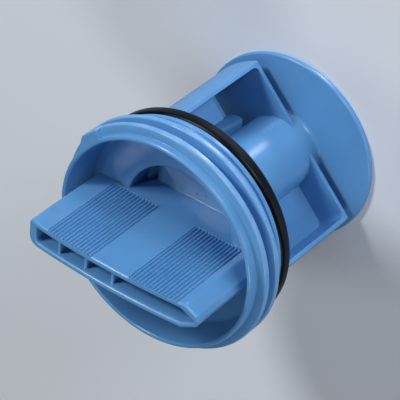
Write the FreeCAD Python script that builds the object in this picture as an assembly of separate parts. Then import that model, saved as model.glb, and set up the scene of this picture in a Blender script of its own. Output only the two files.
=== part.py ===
import FreeCAD, Part
import math
import os

from FreeCAD import Vector

os.makedirs("parts", exist_ok=True)

# Drain pump filter for a washing machine: a screw cap with a finger blade, a
# tube and a U-shaped frame behind it, and a round disc at the rear end.
# Millimetres. The filter stands on its rear disc, with +Z up to the blade.

# Thread root: the radius that the whole collar is built from
thread_root_radius = 26.9

# Rear disc and the end wall in front of it
disc_overhang = 0.85
disc_thickness = 1.5
disc_gap = 2.6
end_wall_thickness = 1.0

# Frame: a slab across the axis with a pocket in each flat side
frame_inset = 0.6
frame_depth = 18.0
frame_reach = 32.5
strap_thickness = 0.95
web_thickness = 1.4
pocket_corner_radius = 1.6
frame_turn_deg = -45.0

# Window in the web on one side of the tube, and the slot that leads to it
window_length = 10.3
slot_width = 4.4

# Central tube
tube_radius = 9.8
tube_wall = 1.5
tube_foot_fillet = 0.7

# Collar with the seal groove
seal_width = 3.6
seal_height = 3.4
seal_corner_radius = 1.25
seal_side_clearance = 0.1
seal_seat_clearance = 0.05
groove_depth = 2.5
rear_lip_setback = 0.4
rear_lip_thickness = 0.8
front_lip_step = 0.6
front_lip_thickness = 1.3
skirt_wall = 1.3

# Cup
rim_step = 0.6
rim_band = 2.6
cup_mouth_wall = 0.6
cup_floor_wall = 1.6
cup_depth = 9.7
floor_thickness = 1.0
rim_edge_radius = 0.45

# Round recess in the cup's floor
recess_radius = 15.2
recess_depth = 7.2
recess_wall = 1.4

# Deep side pocket behind the recess, and its shell
side_pocket_offset = 12.0
side_pocket_depth = 28.2
side_pocket_draft = 2.0
side_pocket_wall = 1.3
side_pocket_flat_wall = 3.4
side_pocket_end_radius = 1.0
side_pocket_half_width = 10.9
side_pocket_end_half_width = 6.9
side_pocket_corner = 2.5
side_pocket_end_corner = 4.2
side_pocket_flat_corner = 0.8

# Screw thread, two turns of one coarse ridge
thread_ridge_height = 2.7
thread_pitch = 4.0
thread_turns = 1.8
thread_start_depth = 2.3
thread_base_width = 2.6
thread_top_width = 1.5
thread_edge_radius = 0.35
thread_bite = 0.3

# Stop lug at the start of the thread
lug_height = 2.8
lug_start_deg = 129.5
lug_full_deg = 139.5
lug_end_deg = 152.0
lug_length = 3.0

# Finger blade, with an arched outer end
blade_left_clearance = 1.9
blade_right_clearance = 2.1
blade_top = 3.1
blade_bottom = 3.8
blade_tip_height = -0.2
blade_shoulder_inset = 0.6
blade_upper_shoulder = 1.1
blade_lower_shoulder = -1.95
blade_slope_start = 20.4
blade_chamfer_start = 19.8
blade_left_corner_radius = 2.6
blade_height = 16.4
blade_arch_radius = 204.0
blade_arch_shift = -1.2
blade_wall = 1.5
blade_left_wall = 2.3
blade_root_left = 12.3
blade_rib_count = 3
blade_rib_pitch = 7.8
blade_rib_thickness = 0.9
blade_rib_setback = 1.5

# Grip ribs on the upper face of the blade
grip_count = 14
grip_pitch = 0.94
grip_height = 0.22
grip_sink = 0.25
grip_crest_width = 0.3
grip_base_width = 0.8
grip_inner_offset = 5.4
grip_border_width = 0.45
grip_border_gap = 0.55

# Radii that follow from the thread's root
rim_radius = thread_root_radius + rim_step
cup_mouth_radius = thread_root_radius - cup_mouth_wall
cup_floor_radius = thread_root_radius - cup_floor_wall
thread_crest_radius = thread_root_radius + thread_ridge_height
lug_radius = thread_root_radius + lug_height
front_lip_radius = thread_root_radius + front_lip_step
rear_lip_radius = thread_root_radius - rear_lip_setback
groove_radius = thread_root_radius - groove_depth
frame_radius = groove_radius - frame_inset
disc_radius = frame_radius + disc_overhang
blade_left = cup_mouth_radius - blade_left_clearance
blade_right = cup_mouth_radius - blade_right_clearance

# Heights, counted up from the disc's back face
disc_top = disc_thickness
wall_bottom = disc_top + disc_gap
wall_top = wall_bottom + end_wall_thickness
skirt_bottom = wall_top + frame_reach
groove_bottom = skirt_bottom + rear_lip_thickness
groove_top = groove_bottom + seal_width + 2 * seal_side_clearance
lip_top = groove_top + front_lip_thickness
floor_bottom = lip_top
floor_top = floor_bottom + floor_thickness
rim_top = floor_top + cup_depth
recess_floor = floor_top - recess_depth
recess_underside = recess_floor - recess_wall
blade_end = rim_top + blade_height

# A small overlap that makes touching pieces one solid
joint = 0.2

AXIS = Vector(0, 0, 1)
CENTRE = Vector(0, 0, 0)


def polar(radius, angle_deg, height=0.0):
    angle = math.radians(angle_deg)
    return Vector(radius * math.cos(angle), radius * math.sin(angle), height)


def rounded_wire(corners, place):
    """Closed outline through corners (u, v, radius), each rounded by its own arc."""
    edges = []
    starts = []
    ends = []
    arcs = []
    count = len(corners)
    for i in range(count):
        u, v, radius = corners[i]
        here = Vector(u, v, 0)
        before = Vector(corners[i - 1][0], corners[i - 1][1], 0)
        after = Vector(corners[(i + 1) % count][0], corners[(i + 1) % count][1], 0)
        if radius <= 0:
            starts.append(here)
            ends.append(here)
            arcs.append(None)
            continue
        back = (before - here).normalize()
        ahead = (after - here).normalize()
        half = back.getAngle(ahead) / 2
        reach = radius / math.tan(half)
        middle = (back + ahead).normalize()
        centre = here + middle * (radius / math.sin(half))
        starts.append(here + back * reach)
        ends.append(here + ahead * reach)
        arcs.append(centre - middle * radius)
    for i in range(count):
        if arcs[i] is not None:
            arc = Part.Arc(place(starts[i]), place(arcs[i]), place(ends[i]))
            edges.append(arc.toShape())
        following = (i + 1) % count
        if (starts[following] - ends[i]).Length > 1e-6:
            line = Part.LineSegment(place(ends[i]), place(starts[following]))
            edges.append(line.toShape())
    return Part.Wire(edges)


def in_plan(point):
    """A point of an outline drawn across the axis."""
    return Vector(point.x, point.y, 0)


def in_section(point):
    """A point of an outline drawn as radius and height."""
    return Vector(point.x, 0, point.y)


def turned(corners):
    """Solid of revolution from (radius, height, rounding) corners."""
    face = Part.Face(rounded_wire(corners, in_section))
    return face.revolve(CENTRE, AXIS, 360)


def upright(corners, bottom, top):
    """Straight solid from (x, y, rounding) corners, between two heights."""
    face = Part.Face(rounded_wire(corners, in_plan))
    face.translate(Vector(0, 0, bottom))
    return face.extrude(Vector(0, 0, top - bottom))


def block(x0, x1, y0, y1, z0, z1):
    return Part.makeBox(x1 - x0, y1 - y0, z1 - z0, Vector(x0, y0, z0))


def rod(radius, bottom, top):
    return Part.makeCylinder(radius, top - bottom, Vector(0, 0, bottom), AXIS)


def cup_and_collar():
    """Cup wall, perforated floor, seal groove and the skirt behind it."""
    skirt_bore = groove_radius - skirt_wall
    step = rim_radius - thread_root_radius
    return turned([
        (cup_mouth_radius, rim_top, rim_edge_radius),
        (rim_radius, rim_top, rim_edge_radius),
        (rim_radius, rim_top - rim_band, 0.2),
        (thread_root_radius, rim_top - rim_band - step, 0.2),
        (thread_root_radius, lip_top, 0.3),
        (front_lip_radius, lip_top, 0.3),
        (front_lip_radius, groove_top, 0.15),
        (groove_radius, groove_top, 0),
        (groove_radius, groove_bottom, 0),
        (rear_lip_radius, groove_bottom, 0.15),
        (rear_lip_radius, skirt_bottom, 0.3),
        (skirt_bore, skirt_bottom, 0.3),
        (skirt_bore, floor_bottom, 0.4),
        (recess_radius, floor_bottom, 0),
        (recess_radius, floor_top, 0.35),
        (cup_floor_radius, floor_top, 0.6),
    ])


def recess_shell():
    """Shallow round well behind the hole in the cup's floor."""
    outside = recess_radius + recess_wall
    return turned([
        (0, recess_underside, 0),
        (outside, recess_underside, 0.8),
        (outside, floor_bottom + joint, 0),
        (recess_radius, floor_bottom + joint, 0),
        (recess_radius, recess_floor, 0.4),
        (0, recess_floor, 0),
    ])


def tube_and_disc():
    """Central tube standing on the rear disc."""
    return turned([
        (0, 0, 0),
        (disc_radius, 0, 0.3),
        (disc_radius, disc_top, 0.3),
        (tube_radius, disc_top, tube_foot_fillet),
        (tube_radius, recess_floor - joint, 0),
        (0, recess_floor - joint, 0),
    ])


def frame():
    """Two straps and the end wall, joined by a thin web at mid depth."""
    half = frame_depth / 2
    size = frame_radius + 1
    top = floor_bottom + joint
    slab = block(-size, size, -half, half, wall_bottom, top)
    slab = slab.common(rod(frame_radius, wall_bottom, top))
    inside = math.sqrt(frame_radius ** 2 - half ** 2) - strap_thickness
    pocket_outline = rounded_wire([
        (-inside, wall_top, pocket_corner_radius),
        (inside, wall_top, pocket_corner_radius),
        (inside, floor_bottom, 0),
        (-inside, floor_bottom, 0),
    ], in_section)
    depth = half - web_thickness / 2 + 1
    pocket = Part.Face(pocket_outline).extrude(Vector(0, depth, 0))
    near = pocket.copy()
    near.translate(Vector(0, web_thickness / 2, 0))
    far = pocket.copy()
    far.translate(Vector(0, -web_thickness / 2 - depth, 0))
    window_top = wall_top + window_length
    window = Part.Face(rounded_wire([
        (-inside, wall_top, pocket_corner_radius),
        (0, wall_top, 0),
        (0, window_top, 0),
        (-inside, window_top, 0),
    ], in_section)).extrude(Vector(0, web_thickness + 2, 0))
    window.translate(Vector(0, -web_thickness / 2 - 1, 0))
    slot_side = tube_radius + slot_width
    slot = block(-slot_side, 0, -web_thickness, web_thickness, wall_top + joint, floor_bottom)
    body = slab.cut([near, far, window, slot])
    body.rotate(CENTRE, AXIS, frame_turn_deg)
    return body


def side_pocket(offset, radius, top, bottom):
    """Slice of a drafted round pocket, beyond a flat side at -offset."""
    taper = side_pocket_draft * (top - bottom) / side_pocket_depth
    cone = Part.makeCone(radius - taper, radius, top - bottom, Vector(0, 0, bottom), AXIS)
    wide = radius + 1
    return cone.common(block(-wide, -offset, -wide, wide, bottom, top))


def side_pocket_sides(reach, flat, bottom):
    """Side faces of the deep pocket, drawn in towards its closed end."""
    outlines = []
    for height, far, half, corner in (
        (recess_floor, reach, side_pocket_half_width, side_pocket_corner),
        (bottom, reach - side_pocket_draft, side_pocket_end_half_width, side_pocket_end_corner),
    ):
        outline = rounded_wire([
            (-far, -half, corner),
            (-flat, -half, side_pocket_flat_corner),
            (-flat, half, side_pocket_flat_corner),
            (-far, half, corner),
        ], in_plan)
        outline.translate(Vector(0, 0, height))
        outlines.append(outline)
    return Part.makeLoft(outlines, True, True)


def side_pocket_shell():
    """Outside of the deep side pocket, below the web, with a rounded end."""
    bottom = recess_floor - side_pocket_depth - side_pocket_wall
    wide = recess_radius + side_pocket_wall
    flat = side_pocket_offset - side_pocket_flat_wall
    rounded = turned([
        (0, bottom, 0),
        (wide - side_pocket_draft, bottom, side_pocket_end_radius),
        (wide, recess_floor, 0),
        (0, recess_floor, 0),
    ])
    side = Part.Face(rounded_wire([
        (-wide - 1, bottom, 0),
        (-flat, bottom, side_pocket_end_radius),
        (-flat, recess_floor, 0),
        (-wide - 1, recess_floor, 0),
    ], in_section))
    side = side.extrude(Vector(0, 2 * wide, 0))
    side.translate(Vector(0, -wide, 0))
    below_web = block(-wide, wide, -wide, 0, bottom, recess_floor)
    below_web.rotate(CENTRE, AXIS, frame_turn_deg)
    sides = side_pocket_sides(wide, flat, bottom)
    return rounded.common(side).common(sides).common(below_web)


def thread():
    """One coarse ridge wound clockwise from the lug, as seen from the blade."""
    rise = thread_pitch * thread_turns
    helix = Part.makeLongHelix(thread_pitch, rise, thread_root_radius, 0)
    base = thread_base_width / 2
    crest = thread_top_width / 2
    inner = thread_root_radius - thread_bite
    outline = rounded_wire([
        (inner, -base, 0),
        (thread_crest_radius, -crest, thread_edge_radius),
        (thread_crest_radius, crest, thread_edge_radius),
        (inner, base, 0),
    ], in_section)
    ridge = Part.Wire(helix.Edges).makePipeShell([outline], True, True)
    top_turn = 360 * thread_turns
    ridge.rotate(CENTRE, AXIS, (lug_start_deg + lug_full_deg) / 2 - top_turn)
    ridge.translate(Vector(0, 0, rim_top - thread_start_depth - rise))
    return ridge


def stop_lug():
    """Block in front of the thread's start, with a steep end and a ramped end."""
    inner = thread_root_radius - thread_bite
    middle = (lug_start_deg + lug_full_deg) / 2
    back = (lug_start_deg + lug_end_deg) / 2
    edges = [
        Part.LineSegment(polar(inner, lug_start_deg), polar(lug_radius, lug_start_deg)).toShape(),
        Part.Arc(
            polar(lug_radius, lug_start_deg),
            polar(lug_radius, middle),
            polar(lug_radius, lug_full_deg),
        ).toShape(),
        Part.LineSegment(polar(lug_radius, lug_full_deg), polar(inner, lug_end_deg)).toShape(),
        Part.Arc(
            polar(inner, lug_end_deg),
            polar(inner, back),
            polar(inner, lug_start_deg),
        ).toShape(),
    ]
    face = Part.Face(Part.Wire(edges))
    face.translate(Vector(0, 0, rim_top - lug_length))
    return face.extrude(Vector(0, 0, lug_length - 0.1))


def blade_outline():
    """Corners of the blade's section: square on the left, tapered on the right."""
    shoulder = blade_right - blade_shoulder_inset
    return [
        (-blade_left, blade_top, 1.0),
        (-blade_left, -blade_bottom, blade_left_corner_radius),
        (blade_chamfer_start, -blade_bottom, 0.8),
        (shoulder, blade_lower_shoulder, 0.8),
        (blade_right, blade_tip_height, 0.4),
        (shoulder, blade_upper_shoulder, 0.8),
        (blade_slope_start, blade_top, 2.0),
    ]


def grip_span(patch):
    """Both sides of a patch of grip ribs, across the blade."""
    near = patch * grip_inner_offset
    far = patch * (grip_inner_offset + grip_pitch * grip_count)
    return min(near, far), max(near, far)


def grip_fields():
    """Shallow sunk fields that the grip ribs stand in."""
    low = floor_top + grip_border_gap + grip_border_width
    margin = (grip_pitch - grip_base_width) / 2
    fields = []
    for patch in (-1, 1):
        left, right = grip_span(patch)
        fields.append(block(
            left - margin, right + margin, blade_top - grip_sink, blade_top + 1, low, blade_end))
    return fields


def grip_ribs():
    """Two patches of fine ribs on the blade's upper face, with a border behind each."""
    field = blade_top - grip_sink
    crest = blade_top + grip_height
    low = floor_top + grip_border_gap
    ribs = []
    for patch in (-1, 1):
        for i in range(grip_count):
            x = patch * (grip_inner_offset + grip_pitch * (i + 0.5))
            ribs.append(upright([
                (x - grip_base_width / 2, field - joint, 0),
                (x - grip_base_width / 2, field, 0),
                (x - grip_crest_width / 2, crest, 0),
                (x + grip_crest_width / 2, crest, 0),
                (x + grip_base_width / 2, field, 0),
                (x + grip_base_width / 2, field - joint, 0),
            ], low, blade_end))
        left, right = grip_span(patch)
        ribs.append(block(left, right, field, crest, low, low + grip_border_width))
    return ribs


def blade_root_cut():
    """What the blade's root leaves free over the deep side pocket."""
    wide = recess_radius + 1
    outline = rounded_wire([
        (-wide, recess_floor - 1, 0),
        (-blade_root_left, recess_floor - 1, 0),
        (-blade_root_left, recess_floor, 0),
        (-recess_radius, floor_bottom, 0),
        (-wide, floor_bottom, 0),
    ], in_section)
    cut = Part.Face(outline).extrude(Vector(0, 4 * blade_bottom, 0))
    cut.translate(Vector(0, -2 * blade_bottom, 0))
    return cut


def blade():
    """Hollow finger blade across the cup, open at its outer end."""
    outline = blade_outline()
    solid = upright(outline, recess_floor - joint, blade_end)
    lower = solid.common(rod(recess_radius + joint, recess_floor - joint, floor_bottom + joint))
    upper = solid.common(rod(thread_root_radius, floor_bottom, blade_end))
    shape = lower.cut(blade_root_cut()).fuse(upper)
    shape = shape.cut(grip_fields()).fuse(grip_ribs())

    # The outer end is a shallow arch across the blade's width.
    arch = Part.makeCylinder(
        blade_arch_radius,
        4 * blade_bottom,
        Vector(blade_arch_shift, -2 * blade_bottom, blade_end - blade_arch_radius),
        Vector(0, 1, 0),
    )
    shape = shape.common(arch)

    section = Part.Face(rounded_wire(outline, in_plan))
    opening = section.makeOffset2D(-blade_wall, 2)
    opening.translate(Vector(0, 0, floor_top))
    hollow = opening.extrude(Vector(0, 0, blade_end - floor_top))
    hollow = hollow.common(block(
        blade_left_wall - blade_left, blade_right, -blade_bottom, blade_top, floor_top, blade_end))
    ribs = []
    for i in range(blade_rib_count):
        x = -i * blade_rib_pitch
        half = blade_rib_thickness / 2
        ribs.append(block(
            x - half, x + half, -blade_bottom, blade_top, floor_top, blade_end - blade_rib_setback))
    return shape.cut(hollow.cut(ribs))


def filter_body():
    """The one-piece moulding: cup, thread, blade, frame, tube and disc."""
    shell = cup_and_collar()
    for piece in (recess_shell(), tube_and_disc(), frame(), side_pocket_shell()):
        shell = shell.fuse(piece)
    well = rod(recess_radius, recess_floor, floor_top + joint)
    bore = rod(tube_radius - tube_wall, -joint, recess_underside)
    deep_pocket = side_pocket(
        side_pocket_offset,
        recess_radius,
        recess_floor + joint,
        recess_floor - side_pocket_depth,
    )
    for space in (well, bore, deep_pocket):
        shell = shell.cut(space)
    for piece in (thread(), stop_lug(), blade()):
        shell = shell.fuse(piece)
    return shell


def seal_ring():
    """Black rubber ring in the collar's groove."""
    inner = groove_radius + seal_seat_clearance
    low = groove_bottom + seal_side_clearance
    return turned([
        (inner, low, seal_corner_radius),
        (inner + seal_height, low, seal_corner_radius),
        (inner + seal_height, low + seal_width, seal_corner_radius),
        (inner, low + seal_width, seal_corner_radius),
    ])


def save(name, shape):
    if shape.ShapeType == "Compound" and len(shape.Solids) == 1:
        shape = shape.Solids[0]
    shape.exportStep("parts/" + name + ".step")
    box = shape.BoundBox
    print(name, "solids", len(shape.Solids), "valid", shape.isValid(), "volume", round(shape.Volume, 1))
    print("  x", round(box.XMin, 3), round(box.XMax, 3), "y", round(box.YMin, 3), round(box.YMax, 3),
          "z", round(box.ZMin, 3), round(box.ZMax, 3))


save("filter_body", filter_body())
save("seal_ring", seal_ring())
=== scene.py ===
import bmesh
import bpy
import math
from mathutils import Matrix, Vector


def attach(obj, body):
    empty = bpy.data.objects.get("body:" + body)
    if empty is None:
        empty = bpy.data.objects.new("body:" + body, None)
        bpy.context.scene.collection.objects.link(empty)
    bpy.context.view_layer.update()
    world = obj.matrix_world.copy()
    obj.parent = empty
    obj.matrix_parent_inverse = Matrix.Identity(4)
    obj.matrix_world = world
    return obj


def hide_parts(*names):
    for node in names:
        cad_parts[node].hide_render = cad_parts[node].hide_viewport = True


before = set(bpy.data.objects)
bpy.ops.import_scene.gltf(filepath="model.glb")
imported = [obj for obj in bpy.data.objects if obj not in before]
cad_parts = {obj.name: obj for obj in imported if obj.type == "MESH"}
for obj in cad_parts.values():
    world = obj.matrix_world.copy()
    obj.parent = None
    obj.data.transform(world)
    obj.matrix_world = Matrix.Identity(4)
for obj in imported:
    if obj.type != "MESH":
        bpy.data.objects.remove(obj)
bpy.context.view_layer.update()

MM = 0.001

# Sizes in millimetres, on the same axis and datum as the solids.
DISC_RADIUS = 24.65
DISC_TOP = 1.5
WALL_BOTTOM = 4.1
WALL_TOP = 5.1
FRAME_RADIUS = 23.8
FRAME_HALF_DEPTH = 9.0
FRAME_TURN = math.radians(-45)
STRAP_THICKNESS = 0.95
FRAME_CORNER = 1.6
WEB_HALF = 0.7
WINDOW_TOP = 15.4
SLOT_SIDE = 14.2
TUBE_RADIUS = 9.8
TUBE_BORE = 8.3

SKIRT_BOTTOM = 37.6
GROOVE_BOTTOM = 38.4
GROOVE_TOP = 42.2
FLOOR_BOTTOM = 43.5
FLOOR_TOP = 44.5
RIM_TOP = 54.2
RIM_BAND = 2.6
RIM_FOOT = 3.2
SKIRT_BORE = 23.1
GROOVE_RADIUS = 24.4
REAR_LIP_RADIUS = 26.5
ROOT_RADIUS = 26.9
LIP_RADIUS = 27.5
MOUTH_RADIUS = 26.3
CUP_FLOOR_RADIUS = 25.3

WELL_RADIUS = 15.2
WELL_FLOOR = 37.3
WELL_WALL = 1.4
POCKET_CHORD = 12.0
POCKET_DEPTH = 28.2
POCKET_DRAFT = 2.0
POCKET_WALL = 1.3
POCKET_FLAT_WALL = 3.4
POCKET_END = 1.0
POCKET_HALF = 10.9
POCKET_END_HALF = 6.9
POCKET_CORNER = 2.5
POCKET_END_CORNER = 4.2

THREAD_PITCH = 4.0
THREAD_TURNS = 1.8
THREAD_START = 2.3
THREAD_CREST = 29.6
THREAD_BASE = 2.6
THREAD_TOP = 1.5
THREAD_SINK = 0.5
THREAD_EDGE = 0.42
LUG_RADIUS = 29.7
LUG_LENGTH = 3.0
LUG_SINK = 0.3
LUG_DEGREES = (129.5, 139.5, 152.0)

BLADE_TOP = 3.1
BLADE_BOTTOM = 3.8
BLADE_LEFT = 24.4
BLADE_RIGHT = 24.2
BLADE_CROWN = 70.6
BLADE_ARCH_RADIUS = 204.0
BLADE_ARCH_SHIFT = -1.2
BLADE_ROOT_LEFT = 12.3
BLADE_CHAMFER_START = 19.8
BLADE_SLOPE_START = 20.4
BLADE_SHOULDER = 0.6
BLADE_SHOULDER_LOW = -1.95
BLADE_SHOULDER_HIGH = 1.1
BLADE_TIP = -0.2
BLADE_WALL = 1.5
BLADE_LOWER_WALL = 1.4
BLADE_LEFT_WALL = 2.3
BLADE_STEP = 1.3
BLADE_EDGE = 0.5
BLADE_EDGE_LOOP = 0.06
BLADE_RIBS = (-15.6, -7.8, 0.0)
BLADE_RIB_HALF = 0.45
BLADE_RIB_LOW = -2.8
BLADE_RIB_HIGH = 2.0
BLADE_RIB_TOP = 69.1
ROOT_FILLET = 0.45

GRIP_COUNT = 14
GRIP_PITCH = 0.94
GRIP_HEIGHT = 0.22
GRIP_SINK = 0.25
GRIP_BASE = 0.8
GRIP_CREST = 0.3
GRIP_START = 5.4
GRIP_LOW = 45.05
GRIP_BORDER = 0.45
GRIP_TIP = 0.9

SEAL_HEIGHT = 3.4
SEAL_WIDTH = 3.6
SEAL_CORNER = 1.25
SEAL_SEAT_GAP = 0.05
SEAL_SIDE_GAP = 0.1

NIB_PLACES = ((-0.6, 4.8), (2.0, 5.6))
NIB_RADIUS = 0.3
NIB_FLATNESS = 0.6

# Widths asked of soften, whose note says what the mesh gets.
FRAME_EDGE = 0.42
POCKET_EDGE = 0.3
LUG_EDGE = 0.5
RIB_EDGE = 0.22

FLOOR_REACH = 3000
LAMP_DISTANCE = 1200
LAMP_AIM = 35

# Name, degrees round from +x, degrees above the aim, size in metres and power in watts.
# The object that is rebuilt lies on its side and here stands on its disc, so some of its light
# comes from the floor's level and from below. The last four lamps give that light.
LAMPS = (
    ("key", 123, 37, 0.30, 8.0),
    ("right", -36, 45, 0.35, 2.8),
    ("front", 54, 15, 0.35, 3.3),
    ("top_front", 54, 72, 0.35, 1.1),
    ("top_back", 174, 72, 0.35, 1.3),
    ("behind", 275, 25, 0.35, 0.5),
    ("low_right", 9, -15, 0.35, 2.9),
    ("low_front", 54, 2, 0.35, 2.0),
    ("low_left", 99, -4, 0.35, 2.0),
    ("from_below", 91, -44, 0.25, 5.0),
)


# Mesh building

def rounded(corners, steps=5):
    """Closed outline through (u, v, radius) corners, each rounded by its radius."""
    points = []
    count = len(corners)
    for i in range(count):
        here = Vector(corners[i][:2])
        radius = corners[i][2]
        if radius == 0:
            points.append(here)
            continue
        back = (Vector(corners[i - 1][:2]) - here).normalized()
        ahead = (Vector(corners[(i + 1) % count][:2]) - here).normalized()
        half = back.angle(ahead) / 2
        centre = here + (back + ahead).normalized() * radius / math.sin(half)
        start = here + back * radius / math.tan(half) - centre
        end = here + ahead * radius / math.tan(half) - centre
        first = math.atan2(start.y, start.x)
        turn = (math.atan2(end.y, end.x) - first + math.pi) % math.tau - math.pi
        for k in range(steps + 1):
            angle = first + turn * k / steps
            points.append(centre + Vector((math.cos(angle), math.sin(angle))) * radius)
    return points


def arc(radius, first, last, steps):
    """Points on a circle round the axis, from one angle to another."""
    angles = [first + (last - first) * k / steps for k in range(steps + 1)]
    return [Vector((radius * math.cos(a), radius * math.sin(a))) for a in angles]


def bridge(bm, below, above):
    """Faces from one ring of points to the next."""
    count = len(below)
    for i in range(count):
        j = (i + 1) % count
        bm.faces.new((below[i], below[j], above[j], above[i]))


def piece_from(bm, name):
    """An object at the origin from a mesh drawn in millimetres."""
    bmesh.ops.remove_doubles(bm, verts=bm.verts, dist=0.0005)
    bmesh.ops.recalc_face_normals(bm, faces=bm.faces)
    bmesh.ops.scale(bm, vec=(MM, MM, MM), verts=bm.verts)
    mesh = bpy.data.meshes.new(name)
    bm.to_mesh(mesh)
    bm.free()
    piece = bpy.data.objects.new(name, mesh)
    bpy.context.scene.collection.objects.link(piece)
    return piece


def lathe(name, outline, segments=224):
    """A closed outline of (radius, height) points turned round the axis."""
    bm = bmesh.new()
    rings = []
    for s in range(segments):
        angle = math.tau * s / segments
        rings.append([
            bm.verts.new((p.x * math.cos(angle), p.x * math.sin(angle), p.y)) for p in outline])
    count = len(outline)
    for s in range(segments):
        here = rings[s]
        beside = rings[(s + 1) % segments]
        for i in range(count):
            j = (i + 1) % count
            bm.faces.new((here[i], beside[i], beside[j], here[j]))
    return piece_from(bm, name)


def prism(name, outline, low, high, along="z"):
    """A flat outline drawn out between two planes across z or y."""
    bm = bmesh.new()
    if along == "z":
        loop = [bm.verts.new((p.x, p.y, low)) for p in outline]
        way = Vector((0, 0, high - low))
    else:
        loop = [bm.verts.new((p.x, low, p.y)) for p in outline]
        way = Vector((0, high - low, 0))
    face = bm.faces.new(loop)
    drawn = bmesh.ops.extrude_face_region(bm, geom=[face])
    moved = [g for g in drawn["geom"] if isinstance(g, bmesh.types.BMVert)]
    bmesh.ops.translate(bm, vec=way, verts=moved)
    return piece_from(bm, name)


def box(name, x0, x1, y0, y1, z0, z1):
    """A plain block, for cutting with and for small parts."""
    corners = [Vector((x0, y0)), Vector((x1, y0)), Vector((x1, y1)), Vector((x0, y1))]
    return prism(name, corners, z0, z1)


def settle(piece):
    """Turns a piece's modifiers into plain mesh."""
    graph = bpy.context.evaluated_depsgraph_get()
    graph.update()
    mesh = bpy.data.meshes.new_from_object(piece.evaluated_get(graph))
    piece.modifiers.clear()
    old = piece.data
    piece.data = mesh
    bpy.data.meshes.remove(old)
    return piece


def combine(piece, tool, operation):
    """Joins, cuts or crosses a piece with a tool, which is then gone."""
    change = piece.modifiers.new("combine", "BOOLEAN")
    change.object = tool
    change.operation = operation
    change.solver = "EXACT"
    settle(piece)
    bpy.data.objects.remove(tool)
    return piece


def soften(piece, width, angle=38, segments=3):
    """Rounds the edges sharper than an angle and keeps flat faces flat.

    The width is the most that the mesh gets, because Blender caps it by the shortest edges. The cuts
    in the frame and in the side pocket leave very short ones, so the edges of those two stay all but
    sharp, at about 0.002 mm. The lug's come out at about 0.3 mm.
    """
    piece.data.shade_smooth()
    change = piece.modifiers.new("soften", "BEVEL")
    change.width = width * MM
    change.segments = segments
    change.limit_method = "ANGLE"
    change.angle_limit = math.radians(angle)
    change.miter_outer = "MITER_ARC"
    change.harden_normals = True
    return settle(piece)


def smooth(piece, angle=32):
    """Smooth shading, apart from edges sharper than an angle."""
    piece.data.shade_smooth()
    piece.data.set_sharp_from_angle(angle=math.radians(angle))
    return piece


def merge(name, pieces):
    """One object from several, each with the same material."""
    first = pieces[0]
    with bpy.context.temp_override(active_object=first, selected_editable_objects=pieces):
        bpy.ops.object.join()
    first.name = name
    first.data.name = name
    return first


# Cup, collar and well

def make_cup():
    """Cup wall, pierced floor, seal groove and the skirt behind it."""
    outline = rounded([
        (MOUTH_RADIUS, RIM_TOP, 0.55),
        (LIP_RADIUS, RIM_TOP, 0.6),
        (LIP_RADIUS, RIM_TOP - RIM_BAND, 0.4),
        (ROOT_RADIUS, RIM_TOP - RIM_FOOT, 0.4),
        (ROOT_RADIUS, FLOOR_BOTTOM, 0.25),
        (LIP_RADIUS, FLOOR_BOTTOM, 0.32),
        (LIP_RADIUS, GROOVE_TOP, 0.3),
        (GROOVE_RADIUS, GROOVE_TOP, 0.2),
        (GROOVE_RADIUS, GROOVE_BOTTOM, 0.2),
        (REAR_LIP_RADIUS, GROOVE_BOTTOM, 0.25),
        (REAR_LIP_RADIUS, SKIRT_BOTTOM, 0.35),
        (SKIRT_BORE, SKIRT_BOTTOM, 0.35),
        (SKIRT_BORE, FLOOR_BOTTOM, 0.8),
        (WELL_RADIUS, FLOOR_BOTTOM, 0),
        (WELL_RADIUS, FLOOR_TOP, 0.4),
        (CUP_FLOOR_RADIUS, FLOOR_TOP, 0.9),
    ])
    return smooth(lathe("cup", outline))


def make_well():
    """Round well behind the cup's floor, with the crescent opening in its own floor."""
    outside = WELL_RADIUS + WELL_WALL
    underside = WELL_FLOOR - WELL_WALL
    wall = lathe("well", rounded([
        (WELL_RADIUS, underside, 0),
        (outside, underside, 0.9),
        (outside, FLOOR_BOTTOM + 0.4, 0),
        (WELL_RADIUS + 0.3, FLOOR_BOTTOM + 0.4, 0),
        (WELL_RADIUS, FLOOR_BOTTOM - 0.05, 0),
    ]))
    reach = math.acos(-POCKET_CHORD / WELL_RADIUS)
    wide = WELL_RADIUS + 0.3
    across = rounded([
        (-POCKET_CHORD, WELL_FLOOR, 1.1),
        (-POCKET_CHORD, underside, 0.3),
        (wide, underside, 0),
        (wide, WELL_FLOOR, 0),
    ], steps=8)
    plate = prism("plate", arc(wide, -reach, reach, 96), underside - 1, WELL_FLOOR + 1)
    floor = prism("well_floor", across, -wide, wide, along="y")
    return smooth(wall), smooth(combine(floor, plate, "INTERSECT"))


def pocket_form(name, chord, radius, top, bottom, drop, edge):
    """A drafted crescent: what a round pocket holds beyond a flat side."""
    cone = lathe(name, rounded([
        (0, bottom, 0),
        (radius - drop, bottom, edge),
        (radius, top, 0),
        (0, top, 0),
    ], steps=8), segments=160)
    side = rounded([
        (-radius - 1, bottom - 0.01, 0),
        (-chord, bottom - 0.01, edge),
        (-chord, top + 1, 0),
        (-radius - 1, top + 1, 0),
    ], steps=8)
    return combine(cone, prism("side", side, -radius - 1, radius + 1, along="y"), "INTERSECT")


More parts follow.
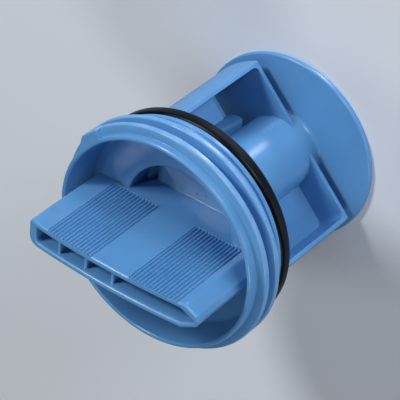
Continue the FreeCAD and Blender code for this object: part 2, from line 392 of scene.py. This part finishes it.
def pocket_sides(flat, reach, end):
    """Side faces of the deep pocket, drawn in towards its closed end."""
    bm = bmesh.new()
    rings = []
    for z, far, half, corner in (
            (WELL_FLOOR, reach, POCKET_HALF, POCKET_CORNER),
            (end, reach - POCKET_DRAFT, POCKET_END_HALF, POCKET_END_CORNER)):
        outline = rounded([
            (-far, -half, corner),
            (-flat, -half, 0.8),
            (-flat, half, 0.8),
            (-far, half, corner),
        ], steps=12)
        rings.append([bm.verts.new((p.x, p.y, z)) for p in outline])
    bridge(bm, *rings)
    for ring in rings:
        bm.faces.new(ring)
    return piece_from(bm, "pocket_sides")


def make_side_pocket():
    """Shell of the deep side pocket, with a rounded closed end."""
    end = WELL_FLOOR - POCKET_DEPTH
    shell = pocket_form(
        "side_pocket", POCKET_CHORD - POCKET_FLAT_WALL, WELL_RADIUS + POCKET_WALL,
        WELL_FLOOR - 0.05, end - POCKET_WALL, POCKET_DRAFT, POCKET_END)
    sides = pocket_sides(
        POCKET_CHORD - POCKET_FLAT_WALL, WELL_RADIUS + POCKET_WALL, end - POCKET_WALL)
    combine(shell, sides, "INTERSECT")
    reach = 20
    below_web = box("below_web", -reach, reach, -reach, 0, 0, WELL_FLOOR + 1)
    below_web.data.transform(Matrix.Rotation(FRAME_TURN, 4, "Z"))
    combine(shell, below_web, "INTERSECT")
    soften(shell, POCKET_EDGE)
    inside = pocket_form(
        "inside", POCKET_CHORD, WELL_RADIUS - 0.02, WELL_FLOOR + 1, end, POCKET_DRAFT, 0)
    return smooth(combine(shell, inside, "DIFFERENCE"))


# Frame, tube and disc

def make_frame():
    """Two straps and the end wall, joined by a thin web at mid depth."""
    chord = math.asin(FRAME_HALF_DEPTH / FRAME_RADIUS)
    right = arc(FRAME_RADIUS, -chord, chord, 40)
    left = [Vector((-p.x, -p.y)) for p in right]
    slab = prism("frame", right + left, WALL_BOTTOM, FLOOR_BOTTOM + 0.3)
    inside = FRAME_RADIUS * math.cos(chord) - STRAP_THICKNESS
    outline = rounded([
        (-inside, WALL_TOP, FRAME_CORNER),
        (inside, WALL_TOP, FRAME_CORNER),
        (inside, FLOOR_BOTTOM + 2, 0),
        (-inside, FLOOR_BOTTOM + 2, 0),
    ], steps=8)
    over = FRAME_HALF_DEPTH + 1
    combine(slab, prism("near", outline, WEB_HALF, over, along="y"), "DIFFERENCE")
    combine(slab, prism("far", outline, -over, -WEB_HALF, along="y"), "DIFFERENCE")
    within_tube = -5
    window = rounded([
        (-inside, WALL_TOP, FRAME_CORNER),
        (within_tube, WALL_TOP, 0),
        (within_tube, WINDOW_TOP, 0),
        (-inside, WINDOW_TOP, 0.5),
    ], steps=8)
    combine(slab, prism("window", window, -1, 1, along="y"), "DIFFERENCE")
    slot = box("slot", -SLOT_SIDE, within_tube, -1, 1, WALL_TOP + 1, FLOOR_BOTTOM - 0.1)
    combine(slab, slot, "DIFFERENCE")
    room = lathe("room", [
        Vector((0, WELL_FLOOR - 0.6)),
        Vector((WELL_RADIUS + 0.7, WELL_FLOOR - 0.6)),
        Vector((WELL_RADIUS + 0.7, FLOOR_TOP)),
        Vector((0, FLOOR_TOP)),
    ], segments=128)
    combine(slab, room, "DIFFERENCE")
    tube_inside = lathe("tube_inside", [
        Vector((0, WALL_BOTTOM - 1)),
        Vector((TUBE_BORE + 0.5, WALL_BOTTOM - 1)),
        Vector((TUBE_BORE + 0.5, FLOOR_TOP)),
        Vector((0, FLOOR_TOP)),
    ], segments=96)
    combine(slab, tube_inside, "DIFFERENCE")
    soften(slab, FRAME_EDGE)
    slab.data.transform(Matrix.Rotation(FRAME_TURN, 4, "Z"))
    return slab


def make_tube():
    """Central tube standing on the rear disc, open at the rear."""
    top = WELL_FLOOR - WELL_WALL + 0.5
    outline = rounded([
        (TUBE_BORE, 0, 0.4),
        (DISC_RADIUS, 0, 0.4),
        (DISC_RADIUS, DISC_TOP, 0.4),
        (TUBE_RADIUS, DISC_TOP, 1.0),
        (TUBE_RADIUS, top, 0),
        (TUBE_BORE, top, 0),
    ])
    return smooth(lathe("tube_and_disc", outline))


# Thread and lug

def add(tree, kind, settings=None, **links):
    """One node with its settings and links; a link is a value or another node's socket.

    A link goes by its input's name, or as i0, i1 and so on by its number.
    """
    node = tree.nodes.new(kind)
    for key, value in (settings or {}).items():
        setattr(node, key, value)
    for key, value in links.items():
        by_number = key[0] == "i" and key[1:].isdigit()
        socket = node.inputs[int(key[1:]) if by_number else key.replace("_", " ")]
        if isinstance(value, bpy.types.NodeSocket):
            tree.links.new(value, socket)
        else:
            socket.default_value = value
    return node


def rule_tree(name, sizes):
    """An empty geometry tree with named inputs, its input sockets and its output node."""
    tree = bpy.data.node_groups.new(name, "GeometryNodeTree")
    tree.interface.new_socket("Geometry", in_out="OUTPUT", socket_type="NodeSocketGeometry")
    for label, kind in sizes:
        tree.interface.new_socket(label, in_out="INPUT", socket_type=kind)
    given = tree.nodes.new("NodeGroupInput").outputs
    return tree, given, tree.nodes.new("NodeGroupOutput")


def grown(name, tree, values):
    """The plain mesh that a geometry tree gives for these input values."""
    piece = piece_from(bmesh.new(), name)
    rule = piece.modifiers.new("rule", "NODES")
    rule.node_group = tree
    for item in tree.interface.items_tree:
        if item.in_out == "INPUT":
            rule[item.identifier] = values[item.name]
    return settle(piece)


def calculate(tree, operation, *terms):
    """The result of one sum, product or other operation."""
    return add(tree, "ShaderNodeMath", {"operation": operation},
               **{f"i{k}": t for k, t in enumerate(terms)}).outputs[0]


def thread_tree(material):
    """A ridge wound along a helix."""
    tree, size, out = rule_tree("thread_ridge", [
        ("Radius", "NodeSocketFloat"),
        ("Rise", "NodeSocketFloat"),
        ("Turns", "NodeSocketFloat"),
        ("Ridge height", "NodeSocketFloat"),
        ("Base width", "NodeSocketFloat"),
        ("Top width", "NodeSocketFloat"),
        ("Edge radius", "NodeSocketFloat"),
    ])
    path = add(tree, "GeometryNodeCurveSpiral", Resolution=160, Rotations=size["Turns"],
               Start_Radius=size["Radius"], End_Radius=size["Radius"], Height=size["Rise"],
               Reverse=True)
    level = add(tree, "GeometryNodeSetCurveNormal", {"mode": "Z_UP"}, Curve=path.outputs[0])
    section = add(tree, "GeometryNodeCurvePrimitiveQuadrilateral", {"mode": "TRAPEZOID"},
                  Height=size["Ridge height"], Bottom_Width=size["Base width"],
                  Top_Width=size["Top width"], Offset=0.0)
    turned = add(tree, "GeometryNodeTransform", Geometry=section.outputs[0],
                 Rotation=(0, 0, math.radians(-90)))
    edges = add(tree, "GeometryNodeFilletCurve", {"mode": "POLY"}, Curve=turned.outputs[0],
                Count=4, Radius=size["Edge radius"], Limit_Radius=True)
    ridge = add(tree, "GeometryNodeCurveToMesh", Curve=level.outputs[0],
                Profile_Curve=edges.outputs[0], Fill_Caps=True)
    real = add(tree, "GeometryNodeRealizeInstances", Geometry=ridge.outputs[0])
    painted = add(tree, "GeometryNodeSetMaterial", Geometry=real.outputs[0], Material=material)
    tree.links.new(painted.outputs[0], out.inputs[0])
    return tree


def make_thread(material):
    """The coarse ridge round the cup, from the lug to the collar's front lip."""
    rise = THREAD_PITCH * THREAD_TURNS
    height = THREAD_CREST - ROOT_RADIUS + THREAD_SINK
    ridge = grown("thread", thread_tree(material), {
        "Radius": (ROOT_RADIUS - THREAD_SINK + height / 2) * MM,
        "Rise": rise * MM,
        "Turns": THREAD_TURNS,
        "Ridge height": height * MM,
        "Base width": THREAD_BASE * MM,
        "Top width": THREAD_TOP * MM,
        "Edge radius": THREAD_EDGE * MM,
    })
    start = math.radians(sum(LUG_DEGREES[:2]) / 2) - math.tau * THREAD_TURNS
    place = Matrix.Translation((0, 0, (RIM_TOP - THREAD_START - rise) * MM))
    ridge.data.transform(place @ Matrix.Rotation(start, 4, "Z"))
    return smooth(ridge)


def make_lug():
    """Stop lug on the rim: a steep end, a full part and a ramp."""
    first, full, last = (math.radians(d) for d in LUG_DEGREES)
    outline = arc(LUG_RADIUS, first, full, 8) + arc(ROOT_RADIUS - LUG_SINK, last, first, 8)
    lug = prism("lug", outline, RIM_TOP - LUG_LENGTH, RIM_TOP - 0.05)
    return soften(lug, LUG_EDGE, angle=25)


# Blade and its grip ribs

def crown_height(x):
    """Height of the blade's arched end at a place across its width."""
    aside = x - BLADE_ARCH_SHIFT
    return BLADE_CROWN - BLADE_ARCH_RADIUS + math.sqrt(BLADE_ARCH_RADIUS ** 2 - aside ** 2)


def split(outline, parts):
    """The outline with each of its sides cut into a number of parts."""
    points = []
    for i, here in enumerate(outline):
        ahead = outline[(i + 1) % len(outline)]
        points += [here.lerp(ahead, k / parts[i]) for k in range(parts[i])]
    return points


def inset(outline, depth):
    """The outline moved inward by a depth all the way round."""
    points = []
    for i, here in enumerate(outline):
        before = (here - outline[i - 1]).normalized()
        after = (outline[(i + 1) % len(outline)] - here).normalized()
        way = Vector((-before.y - after.y, before.x + after.x)).normalized()
        points.append(here + way * depth / (before.x * way.y - before.y * way.x))
    return points


def blade_shell(outline, hollow):
    """The blade's wall up to its arched end, whose edges are rounded."""
    turns = [math.pi / 2 * k / 4 for k in range(5)]
    rounding = [(0, BLADE_EDGE + BLADE_EDGE_LOOP)]
    rounding += [(BLADE_EDGE * (1 - math.cos(a)), BLADE_EDGE * (1 - math.sin(a))) for a in turns]
    rounding.append((BLADE_EDGE + BLADE_EDGE_LOOP, 0))
    loops = [[(p.x, p.y, FLOOR_TOP - 0.4) for p in outline]]
    for depth, drop in rounding:
        loops.append([(p.x, p.y, crown_height(p.x) - drop) for p in inset(outline, depth)])
    for depth, drop in reversed(rounding):
        loops.append([(p.x, p.y, crown_height(p.x) - drop) for p in inset(hollow, -depth)])
    loops.append([(p.x, p.y, FLOOR_TOP) for p in hollow])
    bm = bmesh.new()
    rings = [[bm.verts.new(point) for point in loop] for loop in loops]
    for below, above in zip(rings, rings[1:]):
        bridge(bm, below, above)
    bm.faces.new(rings[0])
    bm.faces.new(rings[-1])
    return piece_from(bm, "blade")


def make_blade():
    """Hollow finger blade with its inner ribs, standing in the well."""
    outline = rounded([
        (-BLADE_LEFT, BLADE_TOP, 1.0),
        (-BLADE_LEFT, -BLADE_BOTTOM, 2.6),
        (BLADE_CHAMFER_START, -BLADE_BOTTOM, 0.8),
        (BLADE_RIGHT - BLADE_SHOULDER, BLADE_SHOULDER_LOW, 0.8),
        (BLADE_RIGHT, BLADE_TIP, 0.8),
        (BLADE_RIGHT - BLADE_SHOULDER, BLADE_SHOULDER_HIGH, 0.8),
        (BLADE_SLOPE_START, BLADE_TOP, 2.0),
    ])
    hollow = rounded([
        (-BLADE_LEFT + BLADE_LEFT_WALL, BLADE_TOP - BLADE_WALL, 0.4),
        (-BLADE_LEFT + BLADE_LEFT_WALL, -BLADE_BOTTOM + BLADE_LOWER_WALL, 1.1),
        (19.5, -BLADE_BOTTOM + BLADE_LOWER_WALL, 0.3),
        (22.6, -1.0, 0.3),
        (22.85, -0.55, 0.3),
        (22.5, -0.1, 0.4),
        (19.3, BLADE_TOP - BLADE_WALL, 1.6),
    ])
    count = len(outline)
    sides = [(outline[(i + 1) % count] - outline[i]).length for i in range(count)]
    parts = [math.ceil(side / BLADE_STEP) for side in sides]
    blade = blade_shell(split(outline, parts), split(hollow, parts))
    root = WELL_RADIUS + 0.6
    lower = rounded([
        (-BLADE_ROOT_LEFT, WELL_FLOOR - 0.4, 0),
        (root, WELL_FLOOR - 0.4, 0),
        (root, FLOOR_TOP - 0.1, 0),
        (-root, FLOOR_TOP - 0.1, 0),
        (-WELL_RADIUS, FLOOR_BOTTOM, 0),
        (-BLADE_ROOT_LEFT, WELL_FLOOR, 0),
    ])
    combine(blade, prism("lower", lower, -BLADE_BOTTOM, BLADE_TOP, along="y"), "UNION")
    margin = (GRIP_PITCH - GRIP_BASE) / 2
    for left in (GRIP_START, -GRIP_START - GRIP_PITCH * GRIP_COUNT):
        field = box(
            "field", left - margin, left + GRIP_PITCH * GRIP_COUNT + margin,
            BLADE_TOP - GRIP_SINK, BLADE_TOP + 1, GRIP_LOW + GRIP_BORDER / 2, BLADE_CROWN + 1)
        combine(blade, field, "DIFFERENCE")
    smooth(blade)
    flatter = blade.modifiers.new("flatter", "WEIGHTED_NORMAL")
    flatter.keep_sharp = True
    settle(blade)
    ribs = []
    for x in BLADE_RIBS:
        rib = box(
            "inner_rib", x - BLADE_RIB_HALF, x + BLADE_RIB_HALF, BLADE_RIB_LOW, BLADE_RIB_HIGH,
            FLOOR_TOP - 0.2, BLADE_RIB_TOP)
        ribs.append(soften(rib, RIB_EDGE))
    return blade, ribs


def make_root_fillet():
    """Small fillet where the blade's upper face meets the well's floor."""
    size = ROOT_FILLET
    turns = [math.pi * 1.5 - math.pi / 2 * k / 6 for k in range(7)]
    bm = bmesh.new()
    ends = []
    for x in (-POCKET_CHORD + 1, math.sqrt(WELL_RADIUS ** 2 - BLADE_TOP ** 2)):
        curve = [
            (BLADE_TOP + size * (1 + math.cos(a)), WELL_FLOOR + size * (1 + math.sin(a)))
            for a in turns]
        corner = [
            (BLADE_TOP - 0.2, WELL_FLOOR + size),
            (BLADE_TOP - 0.2, WELL_FLOOR - 0.2),
            (BLADE_TOP + size, WELL_FLOOR - 0.2),
        ]
        ends.append([bm.verts.new((x, y, z)) for y, z in curve + corner])
    bridge(bm, *ends)
    bm.faces.new(ends[0])
    bm.faces.new(ends[1])
    return smooth(piece_from(bm, "root_fillet"))


def make_nibs():
    """Two tiny nibs that the mould's pins leave on the well's floor."""
    bm = bmesh.new()
    for x, y in NIB_PLACES:
        place = Matrix.Translation((x, y, WELL_FLOOR)) @ Matrix.Diagonal((1, 1, NIB_FLATNESS, 1))
        bmesh.ops.create_uvsphere(
            bm, u_segments=16, v_segments=10, radius=NIB_RADIUS, matrix=place)
    return smooth(piece_from(bm, "nibs"))


def grip_tree(material):
    """A row of fine ribs on a flat face, cut to the blade's arched end."""
    tree, size, out = rule_tree("grip_ribs", [
        ("Count", "NodeSocketInt"),
        ("First", "NodeSocketFloat"),
        ("Pitch", "NodeSocketFloat"),
        ("Base width", "NodeSocketFloat"),
        ("Top width", "NodeSocketFloat"),
        ("Ridge height", "NodeSocketFloat"),
        ("Face", "NodeSocketFloat"),
        ("Low", "NodeSocketFloat"),
        ("Crown", "NodeSocketFloat"),
        ("Arch radius", "NodeSocketFloat"),
        ("Arch shift", "NodeSocketFloat"),
        ("Border", "NodeSocketFloat"),
        ("Tip", "NodeSocketFloat"),
    ])
    section = add(tree, "GeometryNodeCurvePrimitiveQuadrilateral", {"mode": "TRAPEZOID"},
                  Height=calculate(tree, "MULTIPLY", size["Ridge height"], 2.0),
                  Bottom_Width=calculate(tree, "ADD", size["Base width"], size["Top width"]),
                  Top_Width=size["Top width"], Offset=0.0)
    edges = add(tree, "GeometryNodeFilletCurve", {"mode": "POLY"}, Curve=section.outputs[0],
                Count=3, Radius=calculate(tree, "MULTIPLY", size["Top width"], 0.45),
                Limit_Radius=True)
    unit = add(tree, "GeometryNodeCurvePrimitiveLine", Start=(0, 0, 0), End=(0, 0, 1))
    level = add(tree, "GeometryNodeSetCurveNormal", {"mode": "FREE"}, Curve=unit.outputs[0],
                Normal=(1, 0, 0))
    rib = add(tree, "GeometryNodeCurveToMesh", Curve=level.outputs[0],
              Profile_Curve=edges.outputs[0], Fill_Caps=True)
    short = add(tree, "GeometryNodeCurvePrimitiveLine", Start=(0, 0, 0),
                End=add(tree, "ShaderNodeCombineXYZ", Z=size["Tip"]).outputs[0])
    fine = add(tree, "GeometryNodeResampleCurve", Curve=short.outputs[0], Count=5)
    along = add(tree, "GeometryNodeSplineParameter").outputs["Factor"]
    along_squared = calculate(tree, "MULTIPLY", along, along)
    lost = calculate(tree, "MULTIPLY", along_squared, 0.8)
    taper = calculate(tree, "SQRT", calculate(tree, "SUBTRACT", 1.0, lost))
    thinned = add(tree, "GeometryNodeSetCurveRadius", Curve=fine.outputs[0], Radius=taper)
    upright = add(tree, "GeometryNodeSetCurveNormal", {"mode": "FREE"}, Curve=thinned.outputs[0],
                  Normal=(1, 0, 0))
    tip = add(tree, "GeometryNodeCurveToMesh", Curve=upright.outputs[0],
              Profile_Curve=edges.outputs[0], Fill_Caps=True)
    start = add(tree, "ShaderNodeCombineXYZ", X=size["First"], Y=size["Face"], Z=size["Low"])
    step = add(tree, "ShaderNodeCombineXYZ", X=size["Pitch"])
    row = add(tree, "GeometryNodeMeshLine", {"mode": "OFFSET"}, Count=size["Count"],
              Start_Location=start.outputs[0], Offset=step.outputs[0])
    place_x = add(tree, "ShaderNodeSeparateXYZ",
                  Vector=add(tree, "GeometryNodeInputPosition").outputs[0]).outputs["X"]
    across = calculate(tree, "SUBTRACT", place_x, size["Arch shift"])
    square = calculate(tree, "MULTIPLY", across, across)
    twice = calculate(tree, "MULTIPLY", size["Arch radius"], 2.0)
    fall = calculate(tree, "DIVIDE", square, twice)
    top = calculate(tree, "SUBTRACT", size["Crown"], fall)
    length = calculate(tree, "SUBTRACT", calculate(tree, "SUBTRACT", top, size["Tip"]), size["Low"])
    stretch = add(tree, "ShaderNodeCombineXYZ", X=1.0, Y=1.0, Z=length)
    ribs = add(tree, "GeometryNodeInstanceOnPoints", Points=row.outputs[0],
               Instance=rib.outputs[0], Scale=stretch.outputs[0])
    ends = add(tree, "GeometryNodeSetPosition", Geometry=row.outputs[0],
               Offset=add(tree, "ShaderNodeCombineXYZ", Z=length).outputs[0])
    tips = add(tree, "GeometryNodeInstanceOnPoints", Points=ends.outputs[0], Instance=tip.outputs[0])
    span = calculate(tree, "MULTIPLY", size["Pitch"], size["Count"])
    strip_size = add(tree, "ShaderNodeCombineXYZ", X=span,
                     Y=calculate(tree, "MULTIPLY", size["Ridge height"], 2.0), Z=size["Border"])
    half_step = calculate(tree, "MULTIPLY", size["Pitch"], -0.5)
    strip_x = calculate(tree, "ADD", calculate(tree, "ADD", size["First"], half_step),
                        calculate(tree, "MULTIPLY", span, 0.5))
    strip_place = add(tree, "ShaderNodeCombineXYZ", X=strip_x, Y=size["Face"], Z=size["Low"])
    strip = add(tree, "GeometryNodeMeshCube", Size=strip_size.outputs[0])
    placed = add(tree, "GeometryNodeTransform", Geometry=strip.outputs[0],
                 Translation=strip_place.outputs[0])
    both = add(tree, "GeometryNodeJoinGeometry")
    tree.links.new(ribs.outputs[0], both.inputs[0])
    tree.links.new(tips.outputs[0], both.inputs[0])
    tree.links.new(placed.outputs[0], both.inputs[0])
    real = add(tree, "GeometryNodeRealizeInstances", Geometry=both.outputs[0])
    painted = add(tree, "GeometryNodeSetMaterial", Geometry=real.outputs[0], Material=material)
    tree.links.new(painted.outputs[0], out.inputs[0])
    return tree


def make_grips(material):
    """Both patches of grip ribs on the blade's upper face."""
    tree = grip_tree(material)
    width = GRIP_PITCH * GRIP_COUNT
    patches = []
    for name, start in (("grip_right", GRIP_START), ("grip_left", -GRIP_START - width)):
        patch = grown(name, tree, {
            "Count": GRIP_COUNT,
            "First": (start + GRIP_PITCH / 2) * MM,
            "Pitch": GRIP_PITCH * MM,
            "Base width": GRIP_BASE * MM,
            "Top width": GRIP_CREST * MM,
            "Ridge height": (GRIP_HEIGHT + GRIP_SINK) * MM,
            "Face": (BLADE_TOP - GRIP_SINK) * MM,
            "Low": (GRIP_LOW + GRIP_BORDER / 2) * MM,
            "Crown": (BLADE_CROWN - 0.06) * MM,
            "Arch radius": BLADE_ARCH_RADIUS * MM,
            "Arch shift": BLADE_ARCH_SHIFT * MM,
            "Border": GRIP_BORDER * MM,
            "Tip": GRIP_TIP * MM,
        })
        patches.append(smooth(patch))
    return patches


def make_seal():
    """Rubber ring in the collar's groove."""
    inner = GROOVE_RADIUS + SEAL_SEAT_GAP
    low = GROOVE_BOTTOM + SEAL_SIDE_GAP
    outline = rounded([
        (inner, low, SEAL_CORNER),
        (inner + SEAL_HEIGHT, low, SEAL_CORNER),
        (inner + SEAL_HEIGHT, low + SEAL_WIDTH, SEAL_CORNER),
        (inner, low + SEAL_WIDTH, SEAL_CORNER),
    ], steps=8)
    return smooth(lathe("rubber_ring", outline), angle=60)


# Materials

def linear(code):
    """Linear colour from an sRGB hex code."""
    parts = [int(code[i:i + 2], 16) / 255 for i in (1, 3, 5)]
    return tuple(c / 12.92 if c <= 0.04045 else ((c + 0.055) / 1.055) ** 2.4 for c in parts) + (1,)


def new_material(name):
    """An empty material, its tree, its output and the place on the piece."""
    material = bpy.data.materials.new(name)
    material.use_nodes = True
    tree = material.node_tree
    tree.nodes.clear()
    out = tree.nodes.new("ShaderNodeOutputMaterial")
    place = add(tree, "ShaderNodeTexCoord").outputs["Object"]
    return material, tree, out, place


def noise(tree, place, size_mm, detail=3.0, roughness=0.5):
    """Noise whose blobs are about this many millimetres across."""
    return add(tree, "ShaderNodeTexNoise", Vector=place, Scale=1 / (size_mm * MM),
               Detail=detail, Roughness=roughness).outputs["Fac"]


def spread(tree, value, low, high, to_low, to_high):
    """A value's range carried over to another range, held at its ends."""
    return add(tree, "ShaderNodeMapRange", Value=value, From_Min=low, From_Max=high,
               To_Min=to_low, To_Max=to_high).outputs["Result"]


def mixed(tree, factor, first, second):
    """One colour running into another by a factor."""
    return add(tree, "ShaderNodeMix", {"data_type": "RGBA"},
               i0=factor, i6=first, i7=second).outputs[2]


def moulded_polypropylene():
    """Injection-moulded polypropylene: grey-blue, satin and faintly waxy.

    To the eye it is cloudy by a shade, with fine pale specks and shallow sink marks. Along the
    thread's crest a paler colour is painted in patches as a highlight, and the crest is made duller
    there, as where it rubs in its socket.
    """
    material, tree, out, place = new_material("moulded_polypropylene_blue")
    cloud = noise(tree, place, 14.0, detail=2.0)
    tone = mixed(tree, spread(tree, cloud, 0.35, 0.65, 0.0, 1.0),
                 linear("#5C96CA"), linear("#629BCF"))
    speck = spread(tree, noise(tree, place, 0.9, detail=4.0), 0.66, 0.72, 0.0, 0.35)
    dusted = mixed(tree, speck, tone, linear("#6FA4D6"))
    spot = add(tree, "ShaderNodeSeparateXYZ", Vector=place).outputs
    squares = [calculate(tree, "MULTIPLY", spot[axis], spot[axis]) for axis in "XY"]
    from_axis = calculate(tree, "SQRT", calculate(tree, "ADD", *squares))
    # Painted highlight: the thread's crest is painted paler in patches; the same mask makes it a
    # little rougher.
    patchy = spread(tree, noise(tree, place, 5.0, detail=3.0), 0.3, 0.7, 0.2, 0.6)
    crest = spread(tree, from_axis, (THREAD_CREST - 0.4) * MM, THREAD_CREST * MM, 0.0, 1.0)
    crest_highlight_and_wear = calculate(tree, "MULTIPLY", patchy, crest)
    tone_with_crest_highlight = mixed(tree, crest_highlight_and_wear, dusted, linear("#8CB8E4"))
    # Shades every edge as if it were rounded by this much. On the frame and the side pocket that is
    # all the rounding there is, because their mesh is sharp.
    soft_edge = add(tree, "ShaderNodeBevel", {"samples": 6}, Radius=0.15 * MM)
    grain = noise(tree, place, 0.28, detail=2.0)
    ripple = noise(tree, place, 5.0, detail=1.0)
    skin = add(tree, "ShaderNodeBump", Strength=0.06, Distance=0.05 * MM, Height=grain,
               Normal=soft_edge.outputs[0])
    sink = add(tree, "ShaderNodeBump", Strength=0.25, Distance=0.08 * MM, Height=ripple,
               Normal=skin.outputs[0])
    gloss = spread(tree, noise(tree, place, 7.0, detail=5.0), 0.3, 0.7, 0.18, 0.26)
    scuffed = calculate(tree, "ADD", gloss, calculate(tree, "MULTIPLY", crest_highlight_and_wear, 0.2))
    shader = add(tree, "ShaderNodeBsdfPrincipled", Base_Color=tone_with_crest_highlight, Roughness=scuffed,
                 IOR=1.49, Normal=sink.outputs[0], Subsurface_Weight=0.12,
                 Subsurface_Radius=(0.35, 0.6, 1.0), Subsurface_Scale=1.0 * MM)
    tree.links.new(shader.outputs[0], out.inputs[0])
    return material


def nitrile_rubber():
    """Moulded nitrile rubber: near black, dull with a soft sheen, with a little pale dust; its
    sheen's blue tint is a painted reflection.
    """
    material, tree, out, place = new_material("nitrile_rubber_black")
    tone = mixed(tree, spread(tree, noise(tree, place, 4.0), 0.35, 0.65, 0.0, 1.0),
                 linear("#020407"), linear("#04080D"))
    dust = spread(tree, noise(tree, place, 0.5, detail=5.0, roughness=0.7), 0.66, 0.76, 0.0, 0.35)
    dusted = mixed(tree, dust, tone, linear("#22303C"))
    skin = add(tree, "ShaderNodeBump", Strength=0.2, Distance=0.05 * MM,
               Height=noise(tree, place, 0.4, detail=3.0))
    gloss = spread(tree, noise(tree, place, 3.0, detail=4.0), 0.3, 0.7, 0.28, 0.42)
    # The blue tint on the rubber's sheen is a painted reflection of a blue surround.
    shader = add(tree, "ShaderNodeBsdfPrincipled", Base_Color=dusted, Roughness=gloss,
                 IOR=1.52, Normal=skin.outputs[0], Specular_IOR_Level=0.2,
                 Specular_Tint=(0.7, 0.85, 1.0, 1.0))
    tree.links.new(shader.outputs[0], out.inputs[0])
    return material


def pale_floor():
    """Matt pale paper: shown pale, and giving back little light to the part."""
    material, tree, out, _ = new_material("matt_paper_pale")
    ray = add(tree, "ShaderNodeLightPath").outputs
    mirrored = calculate(tree, "MULTIPLY", ray["Is Glossy Ray"], 0.5)
    seen = calculate(tree, "MAXIMUM", ray["Is Camera Ray"], mirrored)
    tone = mixed(tree, seen, linear("#6A94C4"), linear("#DDE3EA"))
    shader = add(tree, "ShaderNodeBsdfPrincipled", Base_Color=tone, Roughness=0.9)
    tree.links.new(shader.outputs[0], out.inputs[0])
    return material


# Floor, lights and camera

def make_floor(material):
    """The floor. It blocks no lamp below it, and the part's shadow still falls on it."""
    floor = box("floor", -FLOOR_REACH, FLOOR_REACH, -FLOOR_REACH, FLOOR_REACH, -5, 0)
    floor.data.materials.append(material)
    floor.visible_shadow = False


def soft_lamp(name, around, above, size, power):
    """A round white lamp, placed by its angles round and above the part's middle."""
    data = bpy.data.lights.new(name, "AREA")
    data.shape = "DISK"
    data.size = size
    data.energy = power
    lamp = bpy.data.objects.new(name, data)
    turn = math.radians(around)
    lift = math.radians(above)
    way = Vector((math.cos(turn) * math.cos(lift), math.sin(turn) * math.cos(lift), math.sin(lift)))
    lamp.location = Vector((0, 0, LAMP_AIM * MM)) + way * (LAMP_DISTANCE * MM)
    lamp.rotation_euler = way.to_track_quat("Z", "Y").to_euler()
    bpy.context.scene.collection.objects.link(lamp)


def make_world(colour, strength):
    """Faint even light from all round."""
    world = bpy.data.worlds.new("studio")
    world.use_nodes = True
    shade = world.node_tree.nodes["Background"]
    shade.inputs["Color"].default_value = linear(colour)
    shade.inputs["Strength"].default_value = strength
    bpy.context.scene.world = world


def make_camera():
    """Long lens from above the mouth, rolled so that the axis runs up to the right."""
    right = Vector((0.79624, 0.08421, -0.59909))
    up = Vector((-0.42016, 0.78946, -0.44746))
    back = Vector((0.43528, 0.60800, 0.66398))
    place = Matrix((right, up, back)).transposed().to_4x4()
    place.translation = Vector((0.226523, 0.319351, 0.382178))
    data = bpy.data.cameras.new("camera")
    data.lens = 200.4
    data.sensor_width = 36
    data.clip_end = 20
    camera = bpy.data.objects.new("camera", data)
    camera.matrix_world = place
    bpy.context.scene.collection.objects.link(camera)
    bpy.context.scene.camera = camera


# Everything together

plastic = moulded_polypropylene()
rubber = nitrile_rubber()

blade, inner_ribs = make_blade()
parts = [make_cup(), *make_well(), make_side_pocket(), make_frame(), make_tube()]
parts += [make_thread(plastic), make_lug(), blade, *inner_ribs, make_root_fillet(), make_nibs()]
parts += make_grips(plastic)
for part in parts:
    part.data.materials.clear()
    part.data.materials.append(plastic)
body = merge("moulded_body", parts)
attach(body, "root")
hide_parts("filter_body")

seal = make_seal()
seal.data.materials.append(rubber)
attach(seal, "root")
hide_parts("seal_ring")

make_floor(pale_floor())
make_world("#B8D2F0", 0.03)
for lamp in LAMPS:
    soft_lamp(*lamp)
make_camera()

scene = bpy.context.scene
scene.view_settings.view_transform = "Standard"
